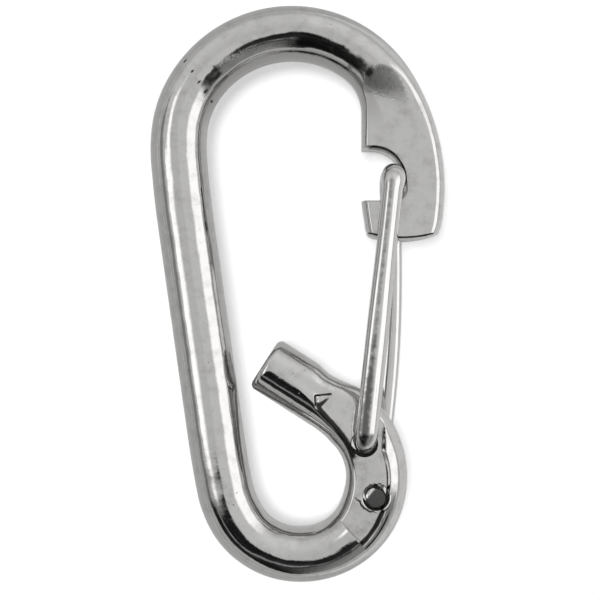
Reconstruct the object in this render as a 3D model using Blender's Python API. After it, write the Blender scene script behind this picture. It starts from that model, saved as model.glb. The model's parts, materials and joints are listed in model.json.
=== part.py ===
"""Wire-gate snap hook for boat rigging, lying on its side.

X runs across the hook, Y along its length towards the bow, and Z up through its thickness.
The body is one round bar: pressed nose, bow, straight back, eye and tail, lofted end to end.
The gate is one spring wire that turns in two offset holes, so it twists a little as it opens.
It is built as two legs that meet in the middle of the crossbar.
Sizes are in millimetres until the meshes are made. The eye's centre is the drawing's origin.
"""

import math

import bmesh
import bpy
from mathutils import Vector

MM = 0.001

# Bar and its bends
BAR_R = 4.85
EYE_R = 13.4
BOW_R = 20.0
BOW_CENTRE = Vector((-1.4, 56.9))
TAIL_ANGLE = 32.5
TAIL_LENGTH = 15.8
TAIL_ROUND = 0.8

# Swelling of the bar where the pivot flats squeeze it
SWELL = 0.5
SWELL_FROM = -42.0
SWELL_TO = 40.0
SWELL_FADE = 22.0

# Pressed nose, measured from the bow's centre
NOSE_HALF_T = 2.9
NOSE_EDGE_X = 12.25
NOSE_INNER_R = 7.8
NOSE_OUTER_R = 36.6
NOSE_LEAVES = 32.3
NOSE_INNER_ROUND = 0.8
NOSE_RIM_DEPTH = 1.9
NOSE_RAMP = 0.27
NOSE_END_ROUND = 0.7
NOSE_END_BOW = 0.95
TOOTH_TIP = Vector((13.0, -15.3))
HEEL_Y = -14.6

# Gate wire, with its crossbar measured from the bow's centre
WIRE_R = 1.75
CROSSBAR = Vector((17.35, -4.75))
FLAT_GAP = 0.45
NOSE_GAP = 0.35
LEG_FLATTEN = 0.17
LEG_FLAT_TO = 0.35
LEG_ROUND_FROM = 0.8
LOOP_SPREAD = 0.25
ELBOW_R = 2.4
LOOP_R = 2.7
BACK_BOW = 1.6
BACK_FOOT_SEAT = Vector((0.03, -0.18))
FOOT_RECESS = 0.35
HALVES_GAP = 0.3

# Catch notch between lip and tooth, measured from the bow's centre
LIP_Y = -0.25
CATCH_R = 5.8
CATCH_GAP = 0.55
CATCH_CORNER_R = 1.4
TOOTH_Y = -9.25

# Pivot flats and holes, set out from the bar's centre line round the eye
FLAT_HALF_T = 3.2
FLAT_OUT = 1.6
FLAT_FROM = -45.0
FRONT_RIM_TO = 20.0
FRONT_FLARE = 84.0
BACK_RIM_TO = -24.0
BACK_FLARE = 58.0
FLARE_LENGTH = 14.0
SHOULDER_ALONG = 5.1
SHOULDER_SKEW = 24.7
SHOULDER_RUN = 1.4
UPPER_HOLE_OUT = -0.75
UPPER_HOLE_ANGLE = 29.1
LOWER_HOLE_OUT = -0.07
LOWER_HOLE_ANGLE = -12.8
HOLE_CLEARANCE = 0.5

# Finish
HOOK_COLOUR = (0.62, 0.62, 0.61)
HOOK_ROUGHNESS = 0.12
WIRE_COLOUR = (0.66, 0.65, 0.63)
WIRE_ROUGHNESS = 0.16

# Facets
RING_SIDES = 32
WIRE_SIDES = 18
BEND_STEP = 6.0
NOSE_STEPS = 16
HOLE_SIDES = 36
WIRE_BEND_STEPS = 7
LEG_STEPS = 9
EDGE_STEPS = 3
NOTCH_STEPS = 12
CORNER_STEPS = 5
RIM_STEPS = 10
CUT_MARGIN = 4.0


def polar(radius, degrees):
    """A point at a radius and an angle from +X."""
    turn = math.radians(degrees)
    return Vector((radius * math.cos(turn), radius * math.sin(turn)))


def steps(start, end, count):
    """Evenly spaced values from start to end, both included."""
    return [start + (end - start) * k / count for k in range(count + 1)]


def ease(value, start, end):
    """Smooth rise from 0 to 1 as value goes from start to end."""
    t = min(1.0, max(0.0, (value - start) / (end - start)))
    return t * t * (3.0 - 2.0 * t)


def section(inner, outer, half_t, inner_round, outer_round):
    """A slab section from inner to outer: its corners are ellipses, and a round bar is all corner."""
    span = outer - inner
    across = span.normalized()
    points = []
    for k in range(RING_SIDES):
        turn = math.tau * (k + 0.5) / RING_SIDES
        c = math.cos(turn)
        s = math.sin(turn)
        if c > 0:
            along = span.length - outer_round * (1.0 - c)
            rise = half_t
        else:
            along = inner_round * (1.0 + c)
            rise = min(half_t, inner_round)
        z = math.copysign(half_t - rise * (1.0 - abs(s)), s)
        flat = inner + across * along
        points.append(Vector((flat.x, flat.y, z)))
    return points


def bar_section(centre, outward, half_width, half_t):
    """A round or oval section of the bar."""
    reach = outward * half_width
    return section(centre - reach, centre + reach, half_t, half_width, half_width)


def loft(rings, ends):
    """A closed solid through rings of equal point count, with faces across each end."""
    bm = bmesh.new()
    made = [[bm.verts.new(p * MM) for p in ring] for ring in rings]
    for low, high in zip(made, made[1:]):
        for k in range(len(low)):
            n = (k + 1) % len(low)
            bm.faces.new((low[k], low[n], high[n], high[k]))
    ends(bm, made[0])
    ends(bm, made[-1])
    bmesh.ops.recalc_face_normals(bm, faces=bm.faces)
    return bm


def flat_end(bm, ring):
    """One flat face across a ring."""
    bm.faces.new(ring)


def bowed_end(bm, ring):
    """Strips across a ring, each from its front half to its back half, so that the end can bow."""
    last = len(ring) - 1
    for k in range(len(ring) // 2 - 1):
        bm.faces.new((ring[k], ring[k + 1], ring[last - k - 1], ring[last - k]))


def add_object(name, bm, origin):
    """An object of that mesh with its origin at a point of the drawing, in millimetres."""
    bmesh.ops.translate(bm, verts=bm.verts, vec=-origin * MM)
    mesh = bpy.data.meshes.new(name)
    bm.to_mesh(mesh)
    bm.free()
    obj = bpy.data.objects.new(name, mesh)
    obj.location = origin * MM
    bpy.context.scene.collection.objects.link(obj)
    return obj


def paint(obj, colour, roughness):
    """A polished metal of the object's own."""
    material = bpy.data.materials.new(obj.name)
    material.use_nodes = True
    shader = material.node_tree.nodes["Principled BSDF"]
    shader.inputs["Base Color"].default_value = (*colour, 1.0)
    shader.inputs["Metallic"].default_value = 1.0
    shader.inputs["Roughness"].default_value = roughness
    obj.data.materials.append(material)


def prism(name, foot, head, start, end):
    """A cutter: from a closed outline at one height to an outline of as many points at another."""
    rings = [[Vector((p.x, p.y, z)) for p in outline] for outline, z in ((foot, start), (head, end))]
    obj = add_object(name, loft(rings, flat_end), Vector((0.0, 0.0, 0.0)))
    obj.hide_render = True
    obj.display_type = "WIRE"
    return obj


def cut(obj, cutter):
    """Takes a cutter away from an object."""
    modifier = obj.modifiers.new(cutter.name, "BOOLEAN")
    modifier.operation = "DIFFERENCE"
    modifier.solver = "EXACT"
    modifier.object = cutter


def back_angle():
    """The lean of the straight back, which is tangent to the eye's bend and the bow's bend."""
    spread = math.asin((BOW_R - EYE_R) / BOW_CENTRE.length)
    return math.degrees(spread + math.atan2(-BOW_CENTRE.x, BOW_CENTRE.y))


def tail_point(along, out):
    """A point by its distance up the tail from the eye's bend, and out from the bar's centre line."""
    return polar(EYE_R + out, 90.0 - TAIL_ANGLE) + polar(along, 180.0 - TAIL_ANGLE)


def tail_rings():
    """The straight tail from its rounded end to the eye's bend."""
    outward = polar(1.0, 90.0 - TAIL_ANGLE)
    rings = []
    for q in steps(0.0, 90.0, EDGE_STEPS):
        corner = polar(TAIL_ROUND, q)
        radius = BAR_R - TAIL_ROUND + corner.y
        centre = tail_point(TAIL_LENGTH - TAIL_ROUND + corner.x, 0.0)
        rings.append(bar_section(centre, outward, radius, radius))
    return rings


def eye_rings():
    """The eye's bend from the tail round to the back, swollen beside the pivot flats."""
    start = 90.0 - TAIL_ANGLE
    end = back_angle() - 180.0
    count = math.ceil((start - end) / BEND_STEP)
    rings = []
    for angle in steps(start, end, count):
        rises = ease(angle, SWELL_FROM - SWELL_FADE, SWELL_FROM)
        falls = 1.0 - ease(angle, SWELL_TO, SWELL_TO + SWELL_FADE)
        half_width = BAR_R + SWELL * rises * falls
        rings.append(bar_section(polar(EYE_R, angle), polar(1.0, angle), half_width, BAR_R))
    return rings


def nose_turn():
    """The bow angle where the nose's inner edge leaves the bow."""
    inner_r = BOW_R - BAR_R
    return math.degrees(math.acos((NOSE_EDGE_X - NOSE_INNER_R) / (inner_r - NOSE_INNER_R)))


def bow_rings():
    """The bow's bend from the back to the nose, without its two end sections."""
    start = 180.0 + back_angle()
    count = math.ceil((start - nose_turn()) / BEND_STEP)
    rings = []
    for angle in steps(start, nose_turn(), count)[:-1]:
        centre = BOW_CENTRE + polar(BOW_R, angle)
        rings.append(bar_section(centre, polar(1.0, angle), BAR_R, BAR_R))
    return rings


def nose_inner_edge(share):
    """A point on the nose's inner edge: tight bend, straight edge, then the tooth's slant."""
    turn = nose_turn()
    centre = polar(BOW_R - BAR_R - NOSE_INNER_R, turn)
    bend = math.radians(turn) * NOSE_INNER_R
    drop = centre.y - TOOTH_Y
    slant = TOOTH_TIP - Vector((NOSE_EDGE_X, TOOTH_Y))
    reach = share * (bend + drop + slant.length)
    if reach < bend:
        return centre + polar(NOSE_INNER_R, turn * (1.0 - reach / bend))
    if reach < bend + drop:
        return Vector((NOSE_EDGE_X, centre.y - (reach - bend)))
    return Vector((NOSE_EDGE_X, TOOTH_Y)) + slant.normalized() * (reach - bend - drop)


def nose_outer_edge(share):
    """A point on the nose's outer edge: the bow's own curve, then a flatter one tangent to it."""
    turn = nose_turn()
    outer_r = BOW_R + BAR_R
    centre = polar(outer_r - NOSE_OUTER_R, NOSE_LEAVES)
    last = math.degrees(math.asin((HEEL_Y - centre.y) / NOSE_OUTER_R))
    bow_part = math.radians(turn - NOSE_LEAVES) * outer_r
    flat_part = math.radians(NOSE_LEAVES - last) * NOSE_OUTER_R
    reach = share * (bow_part + flat_part)
    if reach < bow_part:
        return polar(outer_r, turn - math.degrees(reach / outer_r))
    return centre + polar(NOSE_OUTER_R, NOSE_LEAVES - math.degrees((reach - bow_part) / NOSE_OUTER_R))


def nose_rings():
    """The bar pressed into the nose: thinner and wider, round outside and square inside."""
    rings = []
    for share in steps(0.0, 1.0, NOSE_STEPS):
        pressed = ease(share, 0.0, NOSE_RAMP)
        half_t = BAR_R + (NOSE_HALF_T - BAR_R) * pressed
        inner_round = BAR_R + (NOSE_INNER_ROUND - BAR_R) * pressed
        outer_round = BAR_R + (NOSE_RIM_DEPTH - BAR_R) * pressed
        inner = BOW_CENTRE + nose_inner_edge(share)
        outer = BOW_CENTRE + nose_outer_edge(share)
        rings.append(section(inner, outer, half_t, inner_round, outer_round))
    across = (outer - inner).normalized()
    onward = Vector((across.y, -across.x))
    rings.pop()
    for q in steps(0.0, 90.0, EDGE_STEPS):
        corner = polar(NOSE_END_ROUND, q)
        inset = NOSE_END_ROUND - corner.x
        end_inner = inner + across * inset + onward * corner.y
        end_outer = outer - across * inset + onward * corner.y
        ring = section(end_inner, end_outer, half_t - inset, inner_round, outer_round)
        rings.append(bowed(ring, inner, outer, onward))
    return rings


def bowed(ring, inner, outer, onward):
    """A section near the nose's end, bowed onward in the middle."""
    span = outer - inner
    moved = []
    for point in ring:
        share = (point.to_2d() - inner).dot(span) / span.length_squared
        push = onward * (4.0 * NOSE_END_BOW * share * (1.0 - share))
        moved.append(point + push.to_3d())
    return moved


def catch_outline():
    """The notch that holds the crossbar: a round roof under the lip, a deep end and a flat tooth."""
    mouth_x = NOSE_EDGE_X - CUT_MARGIN
    depth_x = CROSSBAR.x + WIRE_R + CATCH_GAP
    roof = Vector((depth_x - CATCH_R, LIP_Y - CATCH_R))
    corner = Vector((depth_x - CATCH_CORNER_R, TOOTH_Y + CATCH_CORNER_R))
    outline = [Vector((mouth_x, LIP_Y))]
    outline += [roof + polar(CATCH_R, a) for a in steps(90.0, 0.0, NOTCH_STEPS)]
    outline += [corner + polar(CATCH_CORNER_R, a) for a in steps(0.0, -90.0, CORNER_STEPS)]
    outline.append(Vector((mouth_x, TOOTH_Y)))
    return [BOW_CENTRE + p for p in outline]


def upper_hole():
    """The centre of the front foot's hole."""
    return polar(EYE_R + UPPER_HOLE_OUT, UPPER_HOLE_ANGLE)


def lower_hole():
    """The centre of the back foot's hole."""
    return polar(EYE_R + LOWER_HOLE_OUT, LOWER_HOLE_ANGLE)


def flat_outline(rim_to, flare, retreat):
    """One pivot flat: it leaves the bar's outer rim standing, then opens outward for the gate's leg.

    Its end across the tail is moved up the tail by retreat.
    """
    clear = BAR_R + CUT_MARGIN
    skew = clear * math.tan(math.radians(SHOULDER_SKEW))
    rim = [polar(EYE_R + FLAT_OUT, a) for a in steps(FLAT_FROM, rim_to, RIM_STEPS)]
    outside = rim[-1] + polar(FLARE_LENGTH, flare)
    high = tail_point(SHOULDER_ALONG + retreat + skew, clear)
    low = tail_point(SHOULDER_ALONG + retreat - skew, -clear)
    return [polar(EYE_R - clear, FLAT_FROM), *rim, outside, high, low]


def press_flat(body, name, rim_to, flare, facing):
    """Takes one pivot flat out of the bar, with a sloping shoulder at the tail."""
    height = BAR_R + CUT_MARGIN
    retreat = SHOULDER_RUN * (height - FLAT_HALF_T) / (BAR_R - FLAT_HALF_T)
    foot = flat_outline(rim_to, flare, 0.0)
    head = flat_outline(rim_to, flare, retreat)
    cut(body, prism(name, foot, head, FLAT_HALF_T * facing, height * facing))


def make_body():
    """The bar, with its catch notch, two pivot flats and two through holes."""
    body = add_object(
        "hook_body",
        loft(tail_rings() + eye_rings() + bow_rings() + nose_rings(), bowed_end),
        Vector((0.0, 0.0, 0.0)),
    )
    beyond = BAR_R + CUT_MARGIN
    catch = catch_outline()
    cut(body, prism("cut_catch", catch, catch, -beyond, beyond))
    press_flat(body, "cut_front_flat", FRONT_RIM_TO, FRONT_FLARE, 1.0)
    press_flat(body, "cut_back_flat", BACK_RIM_TO, BACK_FLARE, -1.0)
    for name, hole in (("cut_upper_hole", upper_hole()), ("cut_lower_hole", lower_hole())):
        wall = [hole + polar(WIRE_R + HOLE_CLEARANCE, a) for a in steps(0.0, 360.0, HOLE_SIDES)[:-1]]
        cut(body, prism(name, wall, wall, -beyond, beyond))
    paint(body, HOOK_COLOUR, HOOK_ROUGHNESS)
    return body


def leg_line(foot, bow):
    """The leg in plan from its foot to the crossbar: positions and directions, bowed to +X."""
    top = BOW_CENTRE + CROSSBAR
    chord = top - foot
    side = Vector((chord.y, -chord.x)).normalized()

    def at(share):
        return foot + chord * share + side * (4.0 * bow * share * (1.0 - share))

    def heading(share):
        return (chord + side * (4.0 * bow * (1.0 - 2.0 * share))).normalized()

    return at, heading, chord.length


def leg_rings(foot, bow, facing):
    """A leg: foot through its hole, elbow, leg over flat and nose, then half the crossbar."""
    at, heading, length = leg_line(foot, bow)
    foot_z = FLAT_HALF_T + FLAT_GAP + WIRE_R - LEG_FLATTEN
    loop_z = NOSE_HALF_T + NOSE_GAP + WIRE_R
    foot_way = heading(0.0)
    loop_way = heading(1.0)
    path = [(foot, foot_way, 0.0, FOOT_RECESS - FLAT_HALF_T, 0.0, 0.0)]
    for q in steps(0.0, 90.0, WIRE_BEND_STEPS):
        turn = polar(ELBOW_R, q)
        plan = foot + foot_way * (ELBOW_R - turn.x)
        flatten = LEG_FLATTEN * q / 90.0
        path.append((plan, foot_way, q, foot_z - ELBOW_R + turn.y, flatten, -flatten))
    for share in steps(ELBOW_R / length, 1.0 - LOOP_R / length, LEG_STEPS)[1:-1]:
        flatten = LEG_FLATTEN * (1.0 - ease(share, LEG_FLAT_TO, LEG_ROUND_FROM))
        z = foot_z + (loop_z - foot_z) * share
        path.append((at(share), heading(share), 90.0, z, flatten, -flatten))
    top = at(1.0)
    for q in steps(90.0, 0.0, WIRE_BEND_STEPS):
        turn = polar(LOOP_R, q)
        plan = top - loop_way * (LOOP_R - turn.x)
        spread = LOOP_SPREAD * math.sin(math.radians(2.0 * q))
        path.append((plan, loop_way, 180.0 - q, loop_z - LOOP_R + turn.y, spread, 0.0))
    path.append((top, loop_way, 180.0, HALVES_GAP / 2.0, 0.0, 0.0))
    return [wire_ring(*stop, facing) for stop in path]


def wire_ring(plan, way, pitch, z, widen, thicken, facing):
    """One section of the wire: pitch 0 runs up out of the hole, 90 along the leg, 180 down the crossbar."""
    side = Vector((way.y, -way.x, 0.0))
    lift = polar(1.0, pitch)
    rise = Vector((-way.x * lift.x, -way.y * lift.x, lift.y))
    points = []
    for k in range(WIRE_SIDES):
        ring = polar(1.0, 360.0 * k / WIRE_SIDES)
        p = Vector((plan.x, plan.y, z))
        p += side * ((WIRE_R + widen) * ring.x) + rise * ((WIRE_R + thicken) * ring.y)
        points.append(Vector((p.x, p.y, p.z * facing)))
    return points


def make_gate():
    """The gate's two legs, each with its origin on the axis that it turns about."""
    front = add_object(
        "gate_front_leg",
        loft(leg_rings(upper_hole(), 0.0, 1.0), flat_end),
        upper_hole().to_3d(),
    )
    back = add_object(
        "gate_back_leg",
        loft(leg_rings(lower_hole() + BACK_FOOT_SEAT, BACK_BOW, -1.0), flat_end),
        (BOW_CENTRE + CROSSBAR).to_3d(),
    )
    for leg in (front, back):
        paint(leg, WIRE_COLOUR, WIRE_ROUGHNESS)


def seat():
    """Moves everything so that the origin is under the middle of the hook, on what it lies on."""
    bpy.context.view_layer.update()
    shown = [o for o in bpy.data.objects if not o.hide_render]
    corners = [o.matrix_world @ v.co for o in shown for v in o.data.vertices]
    low = Vector([min(c[k] for c in corners) for k in range(3)])
    high = Vector([max(c[k] for c in corners) for k in range(3)])
    shift = Vector((-(low.x + high.x) / 2.0, -(low.y + high.y) / 2.0, -low.z))
    for obj in bpy.data.objects:
        obj.location += shift


def main():
    for obj in list(bpy.data.objects):
        bpy.data.objects.remove(obj)
    make_body()
    make_gate()
    seat()


main()
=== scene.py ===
"""Looks of a wire-gate snap hook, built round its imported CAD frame.

The hook lies on its side: X runs across it, Y along it towards the bow, Z up through its thickness.
Lengths are in metres and turns in radians. The body is worked out from the eye's centre, in the
hook's middle plane, and is then moved to where the frame says the eye is.
"""

import json
from math import radians

import bpy
import numpy as np
from bpy.props import FloatProperty, FloatVectorProperty, IntProperty, PointerProperty
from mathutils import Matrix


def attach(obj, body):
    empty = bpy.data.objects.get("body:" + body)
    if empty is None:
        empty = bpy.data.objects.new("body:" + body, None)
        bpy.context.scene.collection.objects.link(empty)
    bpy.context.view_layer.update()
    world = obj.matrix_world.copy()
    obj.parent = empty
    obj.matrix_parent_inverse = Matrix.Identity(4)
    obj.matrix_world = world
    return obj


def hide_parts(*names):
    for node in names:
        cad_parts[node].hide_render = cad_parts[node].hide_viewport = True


bl_info = {
    "name": "Snap hook looks",
    "version": (1, 0, 0),
    "blender": (4, 5, 0),
    "location": "View3D > Sidebar > Snap hook",
    "description": "Builds the polished body, the gate wire and the stage of a wire-gate snap hook",
    "category": "Object",
}

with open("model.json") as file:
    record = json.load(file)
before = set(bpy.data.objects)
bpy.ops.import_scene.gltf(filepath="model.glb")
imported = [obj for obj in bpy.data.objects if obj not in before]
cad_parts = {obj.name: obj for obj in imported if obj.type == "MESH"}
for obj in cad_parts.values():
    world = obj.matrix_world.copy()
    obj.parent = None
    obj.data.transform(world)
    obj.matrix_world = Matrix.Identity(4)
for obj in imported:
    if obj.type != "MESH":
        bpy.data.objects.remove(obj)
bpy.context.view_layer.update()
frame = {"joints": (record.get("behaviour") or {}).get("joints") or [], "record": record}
MOUNTS = {mount["name"]: np.array(mount["pos_m"]) for mount in frame["record"]["mounts"]}
JOINTS = {joint["name"]: np.array(joint["pos_m"]) for joint in frame["joints"]}
EYE = MOUNTS["eye"]
FRONT_HOLE = (JOINTS["gate_swing"] - EYE)[:2]
CROSSBAR = (JOINTS["gate_twist"] - EYE)[:2]
WHITE = (1.0, 1.0, 1.0, 1.0)
QUARTER = np.pi / 2.0
FULL_TURN = 2.0 * np.pi
MICRON = 1e-6

# Pivot flats: where each rim's arc ends, how its opening for the gate's leg leans, their lower end, and
# the back foot's hole.
FRONT_RIM = (radians(20.0), radians(84.0))
BACK_RIM = (radians(-24.0), radians(58.0))
FLATS_END = radians(45.4)
BACK_HOLE_INSET = 0.07e-3
BACK_HOLE_TURN = radians(-12.8)

# Bends: shares of the thinning and the swelling on each side, and where and how far they start gently.
EYE_INSIDE = 0.65
EYE_OUTSIDE = 0.6
BOW_INSIDE = 0.35
SWELL_INSIDE = 1.3
GENTLE_SHIFTS = np.array([-3.4e-3, 2.4e-3])
GENTLE_LENGTH = 6e-3

# Sections: turns near a quarter turn that a level stretch of full width takes up.
FLAT_TURNS = radians(14.0)
FULL_LEVEL = 4e-3

# Nose, from the bow's centre: its corners, the catch's lines, and how many stations its ramp may reach.
NOSE_TIP = np.array([13.0e-3, -15.35e-3])
NOSE_HEEL_Y = -15.1e-3
TOOTH_Y = -9.25e-3
LIP_Y = -0.25e-3
CATCH_ROOF = 5.6e-3
CATCH_CORNER = 1.9e-3
CATCH_DEPTH = 2.1e-3
CATCH_MOUTH = 4e-3
RAMP_STATIONS = 60

# Marks of pressing: the bite, the crease, the line of painted shade along the flat's inner edge, and the
# painted dark patch by the nose.
BITE = 0.9e-3
BITE_LENGTH = 1.6e-3
CREASE_BENDS = (0.0, 0.2, 0.47, 0.68, 1.0)
CREASE_X = (9.3e-3, 10.03e-3, 10.88e-3, 11.73e-3, 13.2e-3)
CREASE_Y = (-3.0e-3, -3.4e-3, -4.66e-3, -5.2e-3, -5.5e-3)
INNER_EDGE_REACH = (-8.6e-3, -1.87e-3, 3.1e-3, 5.4e-3)
INNER_EDGE_OUT = (-3.6e-3, -2.84e-3, -1.56e-3, -0.31e-3)
# Painted dark patch by the nose: the line it lies along and its width.
DARK_PATCH_FROM = np.array([10.8e-3, 13.7e-3])
DARK_PATCH_TO = np.array([13.1e-3, 12.4e-3])
DARK_PATCH_WIDTH = 1.7e-3
ROUGH_DEPTH = 22.0

# Meshes: points of the catch's outline on its lip and roof, the fewest points of a body that was cut, how
# near a point is to a tool that touched it, and the angles past which an edge is sharp.
NOTCH_EDGE = 30
FEWEST_POINTS = 1000
TOUCHED = 0.06e-3
LEVEL_WITH = 0.05e-3
BODY_SHARP = radians(38.0)
WIRE_SHARP = radians(22.0)

# Gate's feet: the ridge between the two cuts of an end, and where the back foot sits in its hole.
FOOT_RIDGE_WAY = np.array([-0.8, 0.6])
FOOT_RIDGE = 1.1e-3
BACK_FOOT_SEAT = np.array([0.03e-3, -0.18e-3])

# Stage: edges of the light panels on a ceiling at height 1, the floor's reach and the key light.
NEAR_LEFT = (-1.34, -1.12, -0.74, -0.42)
FAR_LEFT = (-0.98, -0.76, -0.62, -0.42)
RIGHT_ACROSS = (0.7, 1.0, 4.2, 7.0)
RIGHT_WEDGE = (-0.44, -0.2, 0.3, 1.1)
FLOOR_REACH = 3.0
KEY_SOFTNESS = radians(22.0)
KEY_TURN = (radians(-2.0), radians(-8.5), 0.0)


def length(name, description, default):
    """A length that a user can change."""
    return FloatProperty(name=name, description=description, default=default, unit="LENGTH", precision=5)


def turn(name, description, default):
    """An angle that a user can change, given in degrees."""
    return FloatProperty(name=name, description=description, default=radians(default), subtype="ANGLE")


def factor(name, description, default, high=1.0):
    """A share or a level that a user can change."""
    return FloatProperty(name=name, description=description, default=default, min=0.0, max=high)


def colour(name, description, default):
    """A colour that a user can change."""
    return FloatVectorProperty(
        name=name, description=description, default=default, subtype="COLOR", size=3, min=0.0, max=1.0,
    )


def whole(name, description, default, low, high):
    """A whole number that a user can change."""
    return IntProperty(name=name, description=description, default=default, min=low, max=high)


class HookForm(bpy.types.PropertyGroup):
    """Sizes of the bent and pressed bar."""

    bar: length("Bar radius", "Radius of the round bar", 4.85e-3)
    eye: length("Eye radius", "Bend radius of the eye at the bar's centre line", 13.4e-3)
    bow: length("Bow radius", "Bend radius of the bow at the bar's centre line", 20.0e-3)
    bow_x: length("Bow across", "Bow's centre across from the eye's centre", -1.4e-3)
    bow_y: length("Bow along", "Bow's centre along from the eye's centre", 56.9e-3)
    tail_turn: turn("Tail turn", "Turn of the straight tail from the hook's cross direction", 32.5)
    tail: length("Tail length", "Straight length of the tail", 15.8e-3)
    tail_round: length("Tail edge", "Rounding of the tail's cut end", 1.05e-3)
    neck: length("Neck", "How far the bar is drawn in beside the flat's shoulder", 0.48e-3)
    swell: length("Swell", "How far the bar is squeezed wider beside the flats", 0.55e-3)
    thin: length("Thinning", "How much the bar's outer side is drawn thinner in the bow", 0.3e-3)
    gentle: length("Gentle bend", "How far the bar cuts the corner where a bend starts", 0.36e-3)
    nose: length("Nose half thickness", "Half the thickness of the pressed nose", 2.9e-3)
    nose_edge: length("Nose edge", "Nose's straight inner edge, across from the bow's centre", 12.1e-3)
    nose_bend: length("Nose bend", "Radius of the bend into the nose's inner edge", 7.8e-3)
    nose_outer: length("Nose outer radius", "Radius of the nose's long outer edge", 37.4e-3)
    nose_leaves: turn("Nose leaves", "Bow angle where the outer edge leaves the bow", 32.3)
    nose_rim: length("Nose rim", "Width of the rounded outer rim of the nose, to its crest", 2.8e-3)
    nose_inner: length("Nose inner edge", "Width of the rounding along the nose's inner edge", 1.2e-3)
    nose_over: length("Nose crest", "How far the rim's crest would stand over the nose's flat", 0.15e-3)
    nose_end: length("Nose end edge", "Rounding of the nose's end", 0.8e-3)
    nose_bow: length("Nose end bow", "How far the nose's end bulges", 0.9e-3)
    edge: length("Edge", "Rounding of the pressed and cut edges", 0.28e-3)
    flat: length("Flat half thickness", "Half the thickness of the bar between its pivot flats", 3.2e-3)
    flat_out: length("Flat width", "How far the flats reach outward from the bar's centre line", 1.4e-3)
    run_out: length("Run-out", "Rounding where the flats run out on the tail", 1.6e-3)
    catch_edge: length("Catch edge", "Rounding of the catch notch's edges", 0.5e-3)
    hole: length("Hole radius", "Radius of the two gate holes", 2.25e-3)
    rings: whole("Points round", "Points round each section of the bar", 176, 48, 256)


class GateForm(bpy.types.PropertyGroup):
    """Sizes of the gate's wire."""

    wire: length("Wire radius", "Radius of the spring wire", 1.75e-3)
    oval: length("Oval", "How far the legs are out of round", 0.2e-3)
    flatten: length("Flattening", "How much the legs are flattened near their feet", 0.17e-3)
    spread: length("Loop spread", "How much the wire spreads in the bends by the crossbar", 0.32e-3)
    elbow: length("Elbow radius", "Bend radius between foot and leg", 2.4e-3)
    loop: length("Loop radius", "Bend radius between leg and crossbar", 2.7e-3)
    flat_gap: length("Gap over flat", "Clearance between a leg and its flat", 0.41e-3)
    nose_gap: length("Gap over nose", "Clearance between a leg and the nose", 0.35e-3)
    recess: length("Foot recess", "How far a foot's end lies under the far flat", 0.35e-3)
    chamfer: length("Foot chamfer", "Chamfer round a foot's cut end", 0.2e-3)
    bow: length("Back leg bow", "How far the back leg bows outward", 1.6e-3)
    sides: whole("Points round", "Points round the wire", 40, 12, 96)


class HookFinish(bpy.types.PropertyGroup):
    """Finish of the polished bar and the drawn wire."""

    steel: colour("Steel", "Colour of the polished bar", (0.63, 0.625, 0.615))
    # Unpolished steel, also used for the painted shade on the bow's inner wall.
    steel_dull_and_shaded: colour("Dull steel", "Colour of the bar where it is not polished", (0.27, 0.265, 0.26))
    # The colour of painted shade: in corners, along edges, the notch and the nose's end, and the bow's dark
    # band and patch.
    shade_paint: colour("Dirt", "Colour of polishing dirt left in the corners", (0.045, 0.043, 0.042))
    wire: colour("Wire", "Colour of the bright wire", (0.66, 0.655, 0.645))
    # Also the colour of the painted shade on each foot's cut end.
    wire_rubbed_and_shaded: colour("Rubbed wire", "Colour of the wire where it is rubbed", (0.17, 0.167, 0.165))
    polish: factor("Roughness", "Roughness of the polished bar", 0.07)
    peel: factor("Peel", "Depth of the fine peel left by tumbling, in microns", 3.2, 20.0)
    ripple: factor("Ripples", "Depth of the short ripples left by tumbling, in microns", 20.0, 60.0)
    wave: factor("Waves", "Depth of the long waves left by forging, in microns", 105.0, 300.0)
    pits: factor("Pits", "Depth of the sparse pits, in microns", 14.0, 60.0)


class HookStage(bpy.types.PropertyGroup):
    """Floor, light and camera."""

    floor: colour("Floor", "Colour of the floor", (0.92, 0.92, 0.92))
    glow: factor("Floor glow", "Light that comes up through the floor", 0.55, 2.0)
    key: factor("Key light", "Level of the light on the floor", 1.6, 20.0)
    overhead: factor("Overhead", "Level of the light from above", 0.67, 10.0)
    left: factor("Left panels", "Level of the light panels on the left", 1.65, 20.0)
    right: factor("Right panel", "Level of the light panel on the right", 1.55, 20.0)
    dark: factor("Dark side", "Level of the unlit side by the eye", 0.012, 10.0)
    height: length("Camera height", "Camera's height over the hook's middle plane", 160.0e-3)
    width: length("Field", "Width of the picture in the hook's middle plane", 104.13e-3)
    aim_x: length("Aim across", "Where the camera looks, across", 0.52e-3)
    aim_y: length("Aim along", "Where the camera looks, along", -1.11e-3)


def polar(radius, angle):
    """Points on a circle: the radius times the cosine and the sine of the angle."""
    return np.stack([radius * np.cos(angle), radius * np.sin(angle)], axis=-1)


def ease(value, start, end):
    """Smooth rise from 0 at start to 1 at end: three times the share squared less twice its cube."""
    share = np.clip((value - start) / (end - start), 0.0, 1.0)
    return share * share * (3.0 - 2.0 * share)


def bell(value, width):
    """A bell of height 1: the exponential of minus the square of the value over the width."""
    return np.exp(-((value / width) ** 2))


def between(value, start, full, fade, end):
    """Smooth rise from 0 at start to 1 at full, and smooth fall from fade to 0 at end."""
    return ease(value, start, full) * (1.0 - ease(value, fade, end))


def turned_between(angle, *limits):
    """The same for an angle, with its four limits in degrees."""
    return between(angle, *(radians(limit) for limit in limits))


def highest(*values):
    """The highest of several values, point by point."""
    return np.maximum.reduce(values)


def soft_min(first, second, blend):
    """The lower of two heights, less a parabola within the blend length of where they cross."""
    near = np.clip(blend - np.abs(first - second), 0.0, None)
    return np.minimum(first, second) - near * near / (4.0 * blend)


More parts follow.
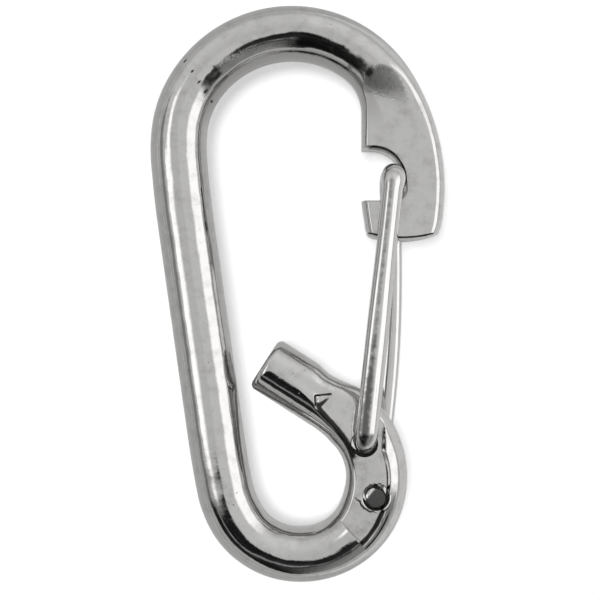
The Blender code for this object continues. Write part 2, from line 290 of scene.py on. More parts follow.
def runs(*pieces):
    """One row of values from runs of (start, end, count), without repeating the joins."""
    parts = [np.linspace(start, end, count, endpoint=False) for start, end, count in pieces]
    return np.concatenate([*parts, [pieces[-1][1]]])


def running_length(points):
    """Length along a row of points, from its first one."""
    return np.concatenate([[0.0], np.cumsum(np.linalg.norm(np.diff(points, axis=0), axis=1))])


def opaque(shade):
    """A colour with full cover."""
    return (*shade, 1.0)


def bow_centre(form):
    """The bow's centre, from the eye's centre."""
    return np.array([form.bow_x, form.bow_y])


def back_lean(form):
    """Lean of the straight back, which is tangent to both bends.

    It is the arcsine of the difference of radii over the distance of the centres, plus the lean of
    the line between the centres.
    """
    spread = np.arcsin((form.bow - form.eye) / np.hypot(form.bow_x, form.bow_y))
    return spread + np.arctan2(-form.bow_x, form.bow_y)


def bow_inner(form):
    """Radius of the bow's inner side, where the bar is drawn a little thinner."""
    return form.bow - form.bar + BOW_INSIDE * form.thin


def nose_turn(form):
    """Bow angle where the nose's inner edge leaves the bow: the two arcs touch there."""
    inner = bow_inner(form)
    return np.arccos((form.nose_edge - form.nose_bend) / (inner - form.nose_bend))


def lower_hole(form):
    """Centre of the back foot's hole, by its distance and turn from the eye's centre."""
    return polar(form.eye - BACK_HOLE_INSET, BACK_HOLE_TURN)


def bar_stations(form):
    """Sections of the bar from the tail's end to the nose, before any pressing.

    The centre line is a straight tail, the eye's arc, a straight back and the bow's arc. It moves inward
    by a bell near each end of the back, because such a bend starts gently. The bar is drawn thinner
    in the bends and is squeezed wider beside the flats. Gives each section's centre, outward direction,
    inner and outer half widths and half height, and says which sections the pivot flats may reach.
    """
    start = QUARTER - form.tail_turn
    end = back_lean(form) - np.pi
    corner = polar(form.tail_round, runs((0.0, QUARTER, 9)))
    shoulder, shoulder_foot = 6.4e-3, 2.0e-3
    on_tail = runs(
        (14.4e-3, 9e-3, 8), (9e-3, shoulder, 9), (shoulder, shoulder_foot, 34), (shoulder_foot, 2e-4, 8),
    )
    up = np.concatenate([form.tail - form.tail_round + corner[:, 0], on_tail])
    above_wall = FLATS_END - QUARTER + 0.02
    below_wall = FLATS_END - QUARTER - 0.03
    eye = runs((start, above_wall, 100), (above_wall, below_wall, 16), (below_wall, end, 46))
    share = runs((0.0, 1.0, 36))[1:-1, None]
    ramp = radians(82.0)
    bow = runs((end + FULL_TURN, ramp, 48), (ramp, nose_turn(form), 34))[:-1]
    back_from = polar(form.eye, end)
    back_to = bow_centre(form) + polar(form.bow, end)
    centre = np.concatenate([
        polar(form.eye, start) + up[:, None] * polar(1.0, start + QUARTER),
        polar(form.eye, eye),
        back_from + share * (back_to - back_from),
        bow_centre(form) + polar(form.bow, bow),
    ])
    tail_turns = np.full(len(up), start)
    after_eye = len(share) + len(bow)
    angle = np.concatenate([tail_turns, eye, np.full(len(share), end), bow])
    reach = np.concatenate([up, (eye - start) * form.eye, np.full(after_eye, -1.0)])
    trim = np.concatenate([form.tail_round - corner[:, 1], np.zeros(len(centre) - len(corner))])
    bend = np.concatenate([tail_turns, eye, np.full(after_eye, end)])
    arch = np.concatenate([np.full(len(centre) - len(bow), end + FULL_TURN), bow])
    run = running_length(centre)
    joins = run[[len(up) + len(eye) - 1, len(centre) - len(bow)]] + GENTLE_SHIFTS
    outward = polar(1.0, angle)
    cut_in = form.gentle * bell(run[:, None] - joins, GENTLE_LENGTH).sum(axis=1)
    centre = centre - outward * cut_in[:, None]
    off_tail = 1.0 - ease(reach, -3e-3, 3e-3)
    in_eye = off_tail * ease(bend, radians(-150.0), radians(-118.0))
    in_bow = ease(-arch, radians(-190.0), radians(-140.0))
    neck = form.neck * between(reach, 0.0, 5e-3, 5.2e-3, 8.4e-3)
    swell_in = SWELL_INSIDE * form.swell * ease(bend, radians(-62.0), radians(-12.0)) * off_tail
    swell_out = form.swell * ease(bend, radians(-95.0), radians(-15.0)) * off_tail
    half_in = form.bar - trim - form.thin * (EYE_INSIDE * in_eye + BOW_INSIDE * in_bow) + swell_in
    half_out = form.bar - trim - form.thin * (EYE_OUTSIDE * in_eye + in_bow) + swell_out - neck
    pressed = np.arange(len(centre)) < len(up) + len(eye)
    return centre, outward, half_in, half_out, form.bar - trim, pressed


def nose_edges(form, share):
    """Inner and outer edge of the nose at shares of its length, from the bow's centre.

    The inner edge is an arc, a straight run and the tooth's slant. The outer edge is the bow's own
    arc and then a flatter arc tangent to it. Each is followed by its length.
    """
    leave = nose_turn(form)
    pivot = polar(bow_inner(form) - form.nose_bend, leave)
    slant = NOSE_TIP - np.array([form.nose_edge, TOOTH_Y])
    bend = leave * form.nose_bend
    drop = pivot[1] - TOOTH_Y
    last = np.hypot(*slant)
    along = share * (bend + drop + last)
    arc = pivot + polar(form.nose_bend, leave * (1.0 - np.clip(along / bend, 0.0, 1.0)))
    fall = np.clip(along - bend, 0.0, drop)
    lean = np.clip(along - bend - drop, 0.0, None)
    inner = arc - fall[:, None] * np.array([0.0, 1.0]) + lean[:, None] * slant / last
    rim = form.bow + form.bar - form.thin
    hub = polar(rim - form.nose_outer, form.nose_leaves)
    stop = np.arcsin((NOSE_HEEL_Y - hub[1]) / form.nose_outer)
    first = (leave - form.nose_leaves) * rim
    along = share * (first + (form.nose_leaves - stop) * form.nose_outer)
    on_bow = polar(rim, leave - along / rim)
    on_nose = hub + polar(form.nose_outer, form.nose_leaves - (along - first) / form.nose_outer)
    return inner, np.where((along < first)[:, None], on_bow, on_nose)


def section_turns(count):
    """Turns round a section, closer together beside the flats' rims and inner edges.

    They are evenly spaced on the running sum of a density with a bell at each of those places.
    """
    dense = np.linspace(0.0, FULL_TURN, 4001)
    folded = np.degrees(np.minimum(dense, FULL_TURN - dense))
    rim_turn, inner_turn, width = 69.0, 139.0, 7.0
    density = 1.0 + 2.2 * bell(folded - rim_turn, width) + 1.5 * bell(folded - inner_turn, width)
    running = np.concatenate([[0.0], np.cumsum((density[1:] + density[:-1]) / 2.0)])
    return np.interp((np.arange(count) + 0.5) / count * running[-1], running, dense)


def sections(inner, outer, height, top, rise, inner_round, outer_round, turns):
    """Closed sections on a grid of station and turn.

    The outer side is a half ellipse, and the inner side is two quarter ellipses that rise to the height
    given by top. Between them runs a level stretch, on which the turns near a quarter turn are spread
    evenly.
    """
    span = np.linalg.norm(outer - inner, axis=1)[:, None]
    across = (outer - inner) / span
    level = span - inner_round[:, None] - outer_round[:, None]
    window = FLAT_TURNS * np.clip(level / FULL_LEVEL, 1e-6, 1.0)
    folded = np.minimum(turns, FULL_TURN - turns)[None, :]
    share = np.clip((QUARTER + window - folded) / (2.0 * window), 0.0, 1.0)
    to_outer = np.clip(folded * QUARTER / (QUARTER - window), 0.0, QUARTER)
    to_inner = np.pi - np.clip((np.pi - folded) * QUARTER / (QUARTER - window), 0.0, QUARTER)
    bent = np.where(folded < QUARTER, to_outer, to_inner)
    c, s = np.cos(bent), np.sin(bent)
    along = inner_round[:, None] * (1.0 + np.minimum(c, 0.0)) + level * share
    along = along + outer_round[:, None] * np.maximum(c, 0.0)
    low = top[:, None] - rise[:, None] * (1.0 - s)
    lift = low + (height[:, None] * s - low) * share
    plan = inner[:, None, :] + across[:, None, :] * along[:, :, None]
    return np.concatenate([plan, (np.sign(np.pi - turns) * lift)[:, :, None]], axis=2), along


def bar_place(form, x, y):
    """Place on the bar's bent end: distance up the tail, negative round the eye, and distance outward."""
    start = QUARTER - form.tail_turn
    across = polar(1.0, start)
    from_bend = np.stack([x, y], axis=-1) - form.eye * across
    up = from_bend @ polar(1.0, start + QUARTER)
    round_eye = (np.arctan2(y, x) - start) * form.eye
    out = np.where(up > 0.0, from_bend @ across, np.hypot(x, y) - form.eye)
    return np.where(up > 0.0, up, round_eye), out


def past_rim(form, x, y, rim_to, flare):
    """Distance outward past a flat's rim, or past the side of its opening for the gate's leg."""
    radius = form.eye + form.flat_out
    foot = polar(radius, rim_to)
    past_leg = (x - foot[0]) * np.sin(flare) - (y - foot[1]) * np.cos(flare)
    before_leg = -(np.stack([x, y], axis=-1) @ polar(1.0, rim_to + QUARTER))
    return np.minimum(np.hypot(x, y) - radius, np.maximum(past_leg, before_leg))


def flat_height(form, x, y, rim_to, flare):
    """Height of the pressing tool over one pivot flat.

    By the holes the flat dips a little towards them. Towards the tail it climbs, first with the square
    of the distance and then in a straight line, and it leans outward, so that it runs out on the bar.
    Walls rise past its lower end and past its rim.
    """
    curve, grade, lean_out, dip_in, end_wall = 2.4, 0.065, 0.12, 0.03, 6.0
    reach, out = bar_place(form, x, y)
    upper = reach - 1.5e-3
    climb = curve * np.clip(reach + 14e-3, 0.0, None) ** 2 + grade * (upper + np.hypot(upper, 2e-3))
    lean = lean_out * ease(reach, -12e-3, 4e-3) * out
    dip = dip_in * (y + 2e-3) * (1.0 - ease(reach, -9e-3, -4e-3))
    past_end = -(np.stack([x, y], axis=-1) @ polar(1.0, FLATS_END))
    rim_wall = 1.8 + 0.8 * ease(np.arctan2(y, x), radians(-40.0), radians(-12.0))
    rise = np.maximum(end_wall * past_end, rim_wall * past_rim(form, x, y, rim_to, flare))
    return form.flat + climb - lean - dip + np.clip(rise, 0.0, None)


def flat_at(form, spot):
    """Height of the front flat at a point round the eye."""
    return float(flat_height(form, spot[0], spot[1], *FRONT_RIM))


def bite_place(form, x, y):
    """Place in the dent that the tool's corner bit into the crest: right of and below the dent's corner."""
    cosine, sine = 0.808, 0.589
    reach, out = bar_place(form, x, y)
    up = reach - 4.2e-3
    outward = out - 1.2e-3
    return 1.75e-3 - cosine * up + sine * outward, 0.05e-3 - sine * up - cosine * outward


def bite_depth(form, x, y):
    """Depth of that dent: two steep walls, and a floor that rises as a parabola away from their corner."""
    right, below = bite_place(form, x, y)
    wall_foot, wall_top = -0.12e-3, 0.2e-3
    walls = ease(right, wall_foot, wall_top) * between(below, wall_foot, wall_top, 1.2e-3, 2.4e-3)
    return BITE * walls * np.clip(1.0 - (0.97 * right + 0.25 * below) / BITE_LENGTH, 0.0, 1.0) ** 2


def nose_height(form, x, y):
    """Height of the pressing tool over the nose, from the bow's centre: a ramp that ends in a flat.

    Towards the outside the ramp's slope eases off and its foot moves down, both in a straight line.
    """
    foot_y, foot_drop, blend = 9.4e-3, 0.33, 0.6e-3
    outward = np.clip(x - 13e-3, -0.6e-3, None)
    ramp = np.clip(0.5 - 45.0 * outward, 0.12, 0.6) * (y - foot_y + foot_drop * outward)
    return form.nose - soft_min(-ramp, np.zeros_like(ramp), blend)


def hook_grid(form):
    """The whole bar as a grid of station and turn: swept sections, then pressed by the two tools.

    The nose's end is a quarter round that draws its edges in, and it bulges as a parabola.
    """
    turns = section_turns(form.rings)
    centre, outward, half_in, half_out, height, pressed = bar_stations(form)
    share = runs((0.0, 0.36, 60), (0.36, 1.0, 32))
    nose_in, nose_out = nose_edges(form, share)
    across = (nose_out[-1] - nose_in[-1]) / np.linalg.norm(nose_out[-1] - nose_in[-1])
    onward = np.array([across[1], -across[0]])
    swing = runs((0.0, QUARTER, 9))
    fall = 1.0 - np.cos(swing)
    step = (form.nose_end * (np.sin(swing) - 1.0))[:, None] * onward
    draw_in, draw_out, draw_down = 0.4e-3, 0.8e-3, 1.3e-3
    nose_in = np.concatenate([nose_in[:-2], nose_in[-1] + draw_in * fall[:, None] * across + step])
    nose_out = np.concatenate([nose_out[:-2], nose_out[-1] - draw_out * fall[:, None] * across + step])
    trim = np.concatenate([np.zeros(len(share) - 2), draw_down * fall])
    share = np.concatenate([share[:-2], np.ones(len(swing))])
    later, early = ease(share, 0.12, 0.42), ease(share, 0.0, 0.5)
    inside, outside = form.bow - bow_inner(form), form.bar - form.thin
    rim = outside + (form.nose_rim - outside) * later
    crest = form.bar + (form.nose + form.nose_over - form.bar) * later
    square = inside + (form.nose_inner - inside) * early
    shelf = form.bar + (form.nose + LEVEL_WITH - form.bar) * early
    corner = form.bar + (2.0 * form.nose_inner - form.bar) * early
    bar, _ = sections(
        centre - outward * half_in[:, None], centre + outward * half_out[:, None],
        height, height, height, half_in, half_out, turns,
    )
    move = bow_centre(form)
    nose, nose_along = sections(
        nose_in + move, nose_out + move, crest - trim, shelf - trim,
        np.minimum(corner, shelf - trim), square, rim, turns,
    )
    width_share = nose_along / np.linalg.norm(nose_out - nose_in, axis=1)[:, None]
    bulge = 4.0 * form.nose_bow * width_share * (1.0 - width_share)
    bulge *= np.concatenate([np.zeros(len(nose_in) - len(swing)), np.ones(len(swing))])[:, None]
    nose[:, :, :2] += bulge[:, :, None] * onward
    grid = np.concatenate([bar, nose])
    x, y, z = grid[:, :, 0], grid[:, :, 1], grid[:, :, 2]
    side, lift = np.sign(z), np.abs(z)
    pressed = np.concatenate([pressed, np.zeros(len(nose), bool)])[:, None]
    front = flat_height(form, x, y, *FRONT_RIM)
    back = flat_height(form, x, y, *BACK_RIM)
    reach, out = bar_place(form, x, y)
    blend = form.edge + form.run_out * ease(reach, -5e-3, 1e-3) * ease(out, -0.8e-3, 1.2e-3)
    flat = soft_min(lift, np.where(side > 0.0, front, back), blend)
    flat -= bite_depth(form, x, y) * (side > 0.0)
    by_bow = (np.arange(len(grid)) > len(bar) - RAMP_STATIONS)[:, None]
    nosed = soft_min(lift, nose_height(form, x - move[0], y - move[1]), form.edge * 0.5)
    grid[:, :, 2] = side * np.where(pressed, flat, np.where(by_bow, nosed, lift))
    return grid


def closed_mesh(name, grid, cap):
    """A mesh of a grid that closes round its second direction, with both ends closed.

    A flat cap is one face, and a bowed cap is strips between the front half and the back half.
    """
    rows, columns = grid.shape[:2]
    index = np.arange(rows * columns).reshape(rows, columns)
    ahead = np.roll(index, -1, axis=1)
    faces = np.stack([index[:-1], ahead[:-1], ahead[1:], index[1:]], axis=-1).reshape(-1, 4).tolist()
    first, last = index[0].tolist(), index[-1].tolist()
    if cap == "bowed":
        half = columns // 2
        low, high = index[-1, : half - 1], index[-1, 1:half]
        mirror = index[-1, ::-1]
        faces += np.stack([low, high, mirror[1:half], mirror[: half - 1]], axis=-1).tolist()
    else:
        faces.append(last)
    faces.append(first[::-1])
    mesh = bpy.data.meshes.new(name)
    mesh.from_pydata(grid.reshape(-1, 3).tolist(), [], faces)
    mesh.update()
    return mesh


def add_object(name, data):
    """An object of a mesh, a lamp or a camera, linked to the scene."""
    item = bpy.data.objects.new(name, data)
    bpy.context.scene.collection.objects.link(item)
    return item


def catch_outline(form, grow):
    """Outline of the catch notch, grown outward: lip line, round roof, deep corner and tooth line."""
    deep = CROSSBAR[0] - form.bow_x + CATCH_DEPTH + grow
    lip, tooth = LIP_Y + grow, TOOTH_Y - grow
    roof_r, corner_r = CATCH_ROOF + grow, CATCH_CORNER + grow
    roof = np.array([deep - roof_r, lip - roof_r]) + polar(roof_r, runs((QUARTER, 0.0, 28)))
    corner = np.array([deep - corner_r, tooth + corner_r]) + polar(corner_r, runs((0.0, -QUARTER, 12)))
    mouth = form.nose_edge - CATCH_MOUTH
    return bow_centre(form) + np.concatenate([[[mouth, lip]], roof, corner, [[mouth, tooth]]])


def hole_outline(centre, radius):
    """A circle round a hole's centre."""
    return centre + polar(radius, np.linspace(FULL_TURN, 0.0, 72, endpoint=False))


def cutter(name, outline, half, edge):
    """A cutter whose outline grows along a quarter round near each face, so that it leaves a soft edge."""
    steepest, beyond = radians(80.0), 4e-3
    swing = runs((0.0, steepest, 5))
    rise = half - edge + edge * np.sin(swing) / np.sin(steepest)
    grow = edge * (1.0 - np.cos(swing))
    heights = np.concatenate([[half + beyond], rise[::-1], -rise, [-half - beyond]])
    grows = np.concatenate([[grow[-1]], grow[::-1], grow, [grow[-1]]])
    plans = np.stack([outline(g) for g in grows])
    levels = np.broadcast_to(heights[:, None, None], plans.shape[:2] + (1,))
    return add_object(name, closed_mesh(name, np.concatenate([plans, levels], axis=2), "flat"))


def hole_cutter(name, form, centre):
    """A cutter for one of the gate's holes."""
    top = flat_at(form, centre)
    return cutter(name, lambda grow: hole_outline(centre, form.hole + grow), top, form.edge)


def crease_line():
    """The bent line of the crease that pressing left beside the lower hole, which wavers by two sines."""
    along = np.linspace(0.0, 1.0, 41)
    x = np.interp(along, CREASE_BENDS, CREASE_X) + 0.06e-3 * np.sin(along * 31.0)
    y = np.interp(along, CREASE_BENDS, CREASE_Y) + 0.05e-3 * np.sin(along * 23.0 + 1.0)
    return along, np.stack([x, y], axis=1)


def crease(form):
    """A cutter for the crease: a narrow diamond carried along its line, as wide as half a sine says."""
    along, line = crease_line()
    way = np.gradient(line, axis=0)
    way /= np.linalg.norm(way, axis=1)[:, None]
    wide = 0.06e-3 + 0.2e-3 * np.sin(np.pi * along) ** 0.7
    lifted = 0.03e-3
    top = flat_height(form, line[:, 0], line[:, 1], *FRONT_RIM)[:, None]
    diamond = np.array([[1.0, 0.0], [0.0, -1.6], [-1.0, 0.0], [0.0, 3.0]])
    side = np.stack([way[:, 1], -way[:, 0]], axis=1)
    plan = line[:, None, :] + side[:, None, :] * (wide[:, None] * diamond[:, 0])[:, :, None]
    rise = top + lifted + wide[:, None] * diamond[:, 1]
    mesh = closed_mesh("crease", np.concatenate([plan, rise[:, :, None]], axis=2), "flat")
    return add_object("crease", mesh)


def cut(piece, tools):
    """Takes the cutters away from a piece, keeps the result as its mesh and removes the cutters."""
    for tool in tools:
        modifier = piece.modifiers.new(tool.name, "BOOLEAN")
        modifier.operation = "DIFFERENCE"
        modifier.solver = "EXACT"
        modifier.object = tool
    graph = bpy.context.evaluated_depsgraph_get()
    mesh = bpy.data.meshes.new_from_object(piece.evaluated_get(graph), depsgraph=graph)
    piece.modifiers.clear()
    piece.data = mesh
    for tool in tools:
        bpy.data.objects.remove(tool)


def vertices_of(mesh):
    """A mesh's vertices as an array."""
    flat = np.empty(len(mesh.vertices) * 3)
    mesh.vertices.foreach_get("co", flat)
    return flat.reshape(-1, 3)


def mark(mesh, name, values):
    """A value for each vertex that the finish reads."""
    attribute = mesh.attributes.new(name, "FLOAT", "POINT")
    attribute.data.foreach_set("value", np.asarray(values, np.float32))


def place(name, mesh, sharp):
    """An object of a mesh, moved to where the eye is, with smooth shading and sharp edges past an angle."""
    mesh.vertices.foreach_set("co", (vertices_of(mesh) + EYE).ravel())
    mesh.polygons.foreach_set("use_smooth", np.ones(len(mesh.polygons), bool))
    mesh.set_sharp_from_angle(angle=sharp)
    mesh.update()
    return add_object(name, mesh)


def flat_painted_shade(form, spot):
    """Painted shade in the corners and along the edges of the front flat's pressing, as the highest of
    several bells.

    They lie along the foot of the rim's wall, along its top by the lower end, along the flat's inner edge
    towards the tail, along the bite's two walls and along the trail that runs on from it.
    """
    # Painted shade: dark lines along the rim's wall, the flat's inner edge, the bite's walls and its trail.
    x, y = spot[:, 0], spot[:, 1]
    reach, out = bar_place(form, x, y)
    angle = np.arctan2(y, x)
    past = past_rim(form, x, y, *FRONT_RIM)
    lower = 1.0 - ease(angle, radians(-26.0), radians(-8.0))
    foot = bell(past - 0.12e-3, 0.14e-3 + 0.22e-3 * lower)
    foot *= 1.0 - ease(angle, radians(7.0), radians(18.0))
    top = bell(past - 1.15e-3, 0.2e-3) * lower
    before_end = ease(angle, radians(-49.0), radians(-44.0))
    line = np.interp(reach, INNER_EDGE_REACH, INNER_EDGE_OUT)
    inner = bell(out - line, 0.6e-3) * between(reach, -9.4e-3, -7.6e-3, 4.2e-3, 5.6e-3)
    right, below = bite_place(form, x, y)
    upper = bell(below, 0.27e-3) * between(right, -0.2e-3, 0.0, 2.6e-3, 3.3e-3)
    left = bell(right, 0.24e-3) * between(below, -0.2e-3, 0.0, 1.6e-3, 2.2e-3)
    trail = 1.3 * bell(0.53 * right + 0.85 * below - 1.8e-3, 0.42e-3)
    trail *= between(right, 0.2e-3, 0.6e-3, 0.8e-3, 3.4e-3)
    front = (spot[:, 2] > 1.5e-3) & (y < 20e-3) & (x > 0.0)
    return front * highest(foot * before_end, top * before_end, inner, upper, left, trail)


def nose_painted_shade(form, spot):
    """Painted shade on the front along the catch notch's edge, and as a bell along the nose's bowed end."""
    # Painted shade: a dark line along the notch's edge and one along the nose's end.
    by_bow = spot[:, :2] - bow_centre(form)
    edge = catch_outline(form, 0.0)[:NOTCH_EDGE]
    off = np.min(np.linalg.norm(spot[:, None, :2] - edge[None, :, :], axis=2), axis=1)
    notch = 0.9 * (1.0 - ease(off, 0.15e-3, 0.4e-3)) * (spot[:, 2] > 2.0e-3)
    inner, outer = (side[0] for side in nose_edges(form, np.ones(1)))
    span = np.linalg.norm(outer - inner)
    way = (outer - inner) / span
    share = (by_bow - inner) @ way / span
    past = (by_bow - inner) @ np.array([way[1], -way[0]]) - 4.0 * form.nose_bow * share * (1.0 - share)
    end = bell(past + 0.6e-3, 0.16e-3) * (1.0 - ease(share, 0.86, 0.94)) * (spot[:, 2] > 1.5e-3)
    return np.maximum(notch, end)


def bow_painted_dark_band(radius, turned):
    """Painted dark reflection on the inner half of the bow: a broad band, broken on the left, and a thin
    painted dark line inside it.
    """
    # Painted reflection: the dark band and line stand in for the reflection of the unlit side.
    right_half = turned_between(turned, 44.0, 51.5, 84.0, 104.0)
    left_end = turned_between(turned, 126.0, 136.0, 142.0, 156.0)
    band = between(radius, 16.6e-3, 17.0e-3, 18.2e-3, 18.7e-3) * (right_half + left_end)
    line = bell(radius - 16.15e-3, 0.2e-3) * turned_between(turned, 46.0, 56.0, 92.0, 108.0)
    return 0.75 * np.maximum(band, line)


def ramp_painted_dark_patch(by_bow):
    """Painted dark patch by the nose that carries the bow's dark reflection band into the ramp: a bell of
    the distance from a short line.
    """
    way = DARK_PATCH_TO - DARK_PATCH_FROM
    by_patch = by_bow - DARK_PATCH_FROM
    along = np.clip(by_patch @ way / (way @ way), 0.0, 1.0)
    return 0.76 * bell(np.linalg.norm(by_patch - along[:, None] * way, axis=1), DARK_PATCH_WIDTH)


def rubbed(radius, turned):
    """How much the inside of the bow is rubbed dull: a streak that drifts inward as it runs round."""
    line = 17.1e-3 + 1.1e-3 * ease(turned, radians(100.0), radians(140.0))
    return bell(radius - line, 0.45e-3) * turned_between(turned, 92.0, 106.0, 130.0, 142.0)


def mark_body(form, mesh):
    """Marks the body's vertices for its finish.

    The pressing tool left its ramp by the nose rough, which fades outward and towards the ramp's foot.
    The flats are pressed, the holes are not polished, and the bow's inner wall is painted darker as shade
    and made a little rougher.
    """
    spot = vertices_of(mesh)
    front, level = spot[:, 2] > 0.0, np.abs(spot[:, 2])
    by_bow = spot[:, :2] - bow_centre(form)
    radius = np.linalg.norm(by_bow, axis=1)
    turned = np.arctan2(by_bow[:, 1], by_bow[:, 0])
    tool = nose_height(form, by_bow[:, 0], by_bow[:, 1])
    on_ramp = (np.abs(level - tool) < TOUCHED) & (by_bow[:, 0] > 0.0) & (by_bow[:, 1] > 0.0)
    inside = 1.0 - ease(radius - form.bow, 0.4e-3, 2.2e-3)
    rough = on_ramp * ease(tool, form.nose - LEVEL_WITH, form.nose + 0.6e-3) ** 0.7 * inside
    mark(mesh, "tool_mark", np.maximum(rough, 0.45 * front * rubbed(radius, turned)))
    on_flat = (level > form.flat - 0.4e-3) & (level < form.flat + 0.6e-3)
    on_flat &= (spot[:, 1] < 8e-3) & (spot[:, 0] > 6e-3)
    on_flat &= np.hypot(spot[:, 0], spot[:, 1]) < form.eye + form.flat_out
    on_nose = (np.abs(level - form.nose) < LEVEL_WITH) & (spot[:, 1] > 35e-3)
    mark(mesh, "pressed", on_flat | on_nose)
    in_holes = [
        np.linalg.norm(spot[:, :2] - hole, axis=1) < form.hole + 0.03e-3
        for hole in (FRONT_HOLE, lower_hole(form))
    ]
    # Painted shade on the bow's inner wall, where the floor it reflects lies in shadow.
    wall = (1.0 - ease(radius, 16.0e-3, 16.7e-3)) * ease(by_bow[:, 1], 2e-3, 8e-3)
    mark(mesh, "bore_and_wall_shade", highest(*in_holes, 0.4 * wall))
    # Painted shade: darkening in the front flat's corners and along its edges and dent, along the notch and
    # the nose's end, the bow's painted dark reflection band and line, and a painted dark patch by the ramp.
    mark(mesh, "painted_shade", highest(
        flat_painted_shade(form, spot), nose_painted_shade(form, spot), front * bow_painted_dark_band(radius, turned),
        (spot[:, 2] > form.nose) * ramp_painted_dark_patch(by_bow),
    ))


def wire_grid(form, hook, foot, bow, facing):
    """Half the gate's wire as a grid: a ring carried along foot, elbow, leg, loop and half the crossbar.

    The leg's plan is a straight line plus a parabola. Each ring has a side direction in the plan and a
    rise direction that turns with the wire's pitch: up out of the hole, along the leg, down the crossbar.
    A leg's ring is an ellipse rolled by an eighth of a turn, and the front half's wire spreads by a sine in
    its loop. A foot's end is two slanting cuts. The second grid says how much the leg's top is rubbed, as
    a bell across it, and how dark the foot's cut end is painted as shade in its hole.
    """
    chord = CROSSBAR - foot
    size = np.hypot(*chord)
    normal = np.array([chord[1], -chord[0]]) / size
    foot_z = hook.flat + form.flat_gap + form.wire - form.flatten
    loop_z = hook.nose + form.nose_gap + form.wire
    q = runs((0.0, QUARTER, 16))
    first = (chord + 4.0 * bow * normal) / np.hypot(*(chord + 4.0 * bow * normal))
    final = (chord - 4.0 * bow * normal) / np.hypot(*(chord - 4.0 * bow * normal))
    share = runs((form.elbow / size, 1.0 - form.loop / size, 60))[1:-1]
    low = form.recess - hook.flat
    foot_s = runs((0.0, 1.0, 6))[:-1]
    ends = runs((0.05, 1.0, 9))
    shank = low + form.chamfer + foot_s * (foot_z - form.elbow - low - form.chamfer)
    foot_rise = np.concatenate([np.full(len(ends), low), shank])
    down = np.array([0.75, 0.5, 0.25, 0.0])
    at_foot = np.zeros(len(foot_rise))
    at_bar = np.zeros(len(down))
    plan = np.concatenate([
        np.broadcast_to(foot, (len(foot_rise), 2)),
        foot + np.outer(form.elbow * (1.0 - np.cos(q)), first),
        foot + np.outer(share, chord) + np.outer(4.0 * bow * share * (1.0 - share), normal),
        CROSSBAR - np.outer(form.loop * (1.0 - np.sin(q)), final),
        np.broadcast_to(CROSSBAR, (len(down), 2)),
    ])
    z = np.concatenate([
        foot_rise,
        foot_z - form.elbow + form.elbow * np.sin(q),
        foot_z + (loop_z - foot_z) * share,
        loop_z - form.loop + form.loop * np.cos(q),
        (loop_z - form.loop) * down,
    ])
    level = np.full(len(share), QUARTER)
    pitch = np.concatenate([at_foot, q, level, QUARTER + q, at_bar + np.pi])
    heading = chord + np.outer(4.0 * bow * (1.0 - 2.0 * share), normal)
    way = np.concatenate([
        np.broadcast_to(first, (len(foot_rise) + len(q), 2)),
        heading / np.linalg.norm(heading, axis=1)[:, None],
        np.broadcast_to(final, (len(q) + len(down), 2)),
    ])
    leg_flat = form.flatten * (1.0 - ease(share, 0.35, 0.8))
    flatten = np.concatenate([at_foot, form.flatten * q / QUARTER, leg_flat, np.zeros_like(q), at_bar])
    loop_spread = form.spread * (facing > 0.0) * np.sin(2.0 * q)
    spread = np.concatenate([at_foot, np.zeros_like(q), np.zeros_like(share), loop_spread, at_bar])
    trim = np.zeros(len(z))
    trim[: len(ends)] = form.wire - (form.wire - form.chamfer) * ends
    on_leg = np.concatenate([at_foot, np.sin(q) ** 2, np.ones_like(share), np.cos(q) ** 2, at_bar])[:, None]
    oval = form.oval * on_leg
    ring = np.linspace(0.0, FULL_TURN, form.sides, endpoint=False)
    wide = (form.wire + flatten + spread - trim)[:, None] * np.cos(ring) - oval * np.sin(ring)
    thick = (form.wire - flatten + 0.5 * spread - trim)[:, None] * np.sin(ring) - oval * np.cos(ring)
    side = np.stack([way[:, 1], -way[:, 0], np.zeros(len(z))], axis=1)[:, None, :]
    back = -way * np.cos(pitch)[:, None]
    rise = np.concatenate([back, np.sin(pitch)[:, None]], axis=1)[:, None, :]
    line = np.concatenate([plan, z[:, None]], axis=1)[:, None, :]
    grid = line + side * wide[:, :, None] + rise * thick[:, :, None]
    spot = grid[: len(ends), :, :2] - foot
    past_ridge = spot @ FOOT_RIDGE_WAY - FOOT_RIDGE
    grid[: len(ends), :, 2] -= np.minimum(0.02 * spot[:, :, 1], -0.35 * past_ridge)
    lower = 1.0 - ease(share, 0.05, 0.5)
    low_leg = np.concatenate([at_foot + 1.0, np.ones_like(q), lower, np.zeros_like(q), at_bar])[:, None]
    rub_and_end_shade = bell(np.cos(ring) + 0.15 + 0.1 * low_leg, 0.32 + 0.16 * low_leg) * (np.sin(ring) > 0.0)
    rub_and_end_shade = rub_and_end_shade * (0.5 + 0.5 * low_leg) * on_leg
    # Painted shade: the foot's cut end is dark in its hole, its facet past the ridge less so.
    rub_and_end_shade[: len(ends)] = np.where(past_ridge > 0.0, 0.3, 1.0)
    if facing < 0.0:
        return grid * np.array([1.0, 1.0, -1.0]), rub_and_end_shade
    return grid[:, ::-1, :], rub_and_end_shade[:, ::-1]


def wire_uv(mesh, grid):
    """A map for the drawing lines: millimetres along the wire, and turns round it."""
    columns = grid.shape[1]
    run = running_length(grid.mean(axis=1))
    corners = np.empty(len(mesh.loops), np.int32)
    mesh.loops.foreach_get("vertex_index", corners)
    around = np.minimum(corners % columns, columns - corners % columns) / columns
    wire_girth = 11.0
    flat = np.stack([run[corners // columns] * 1e3, around * wire_girth], axis=1)
    layer = mesh.uv_layers.new(name="drawn")
    layer.data.foreach_set("uv", flat.astype(np.float32).ravel())


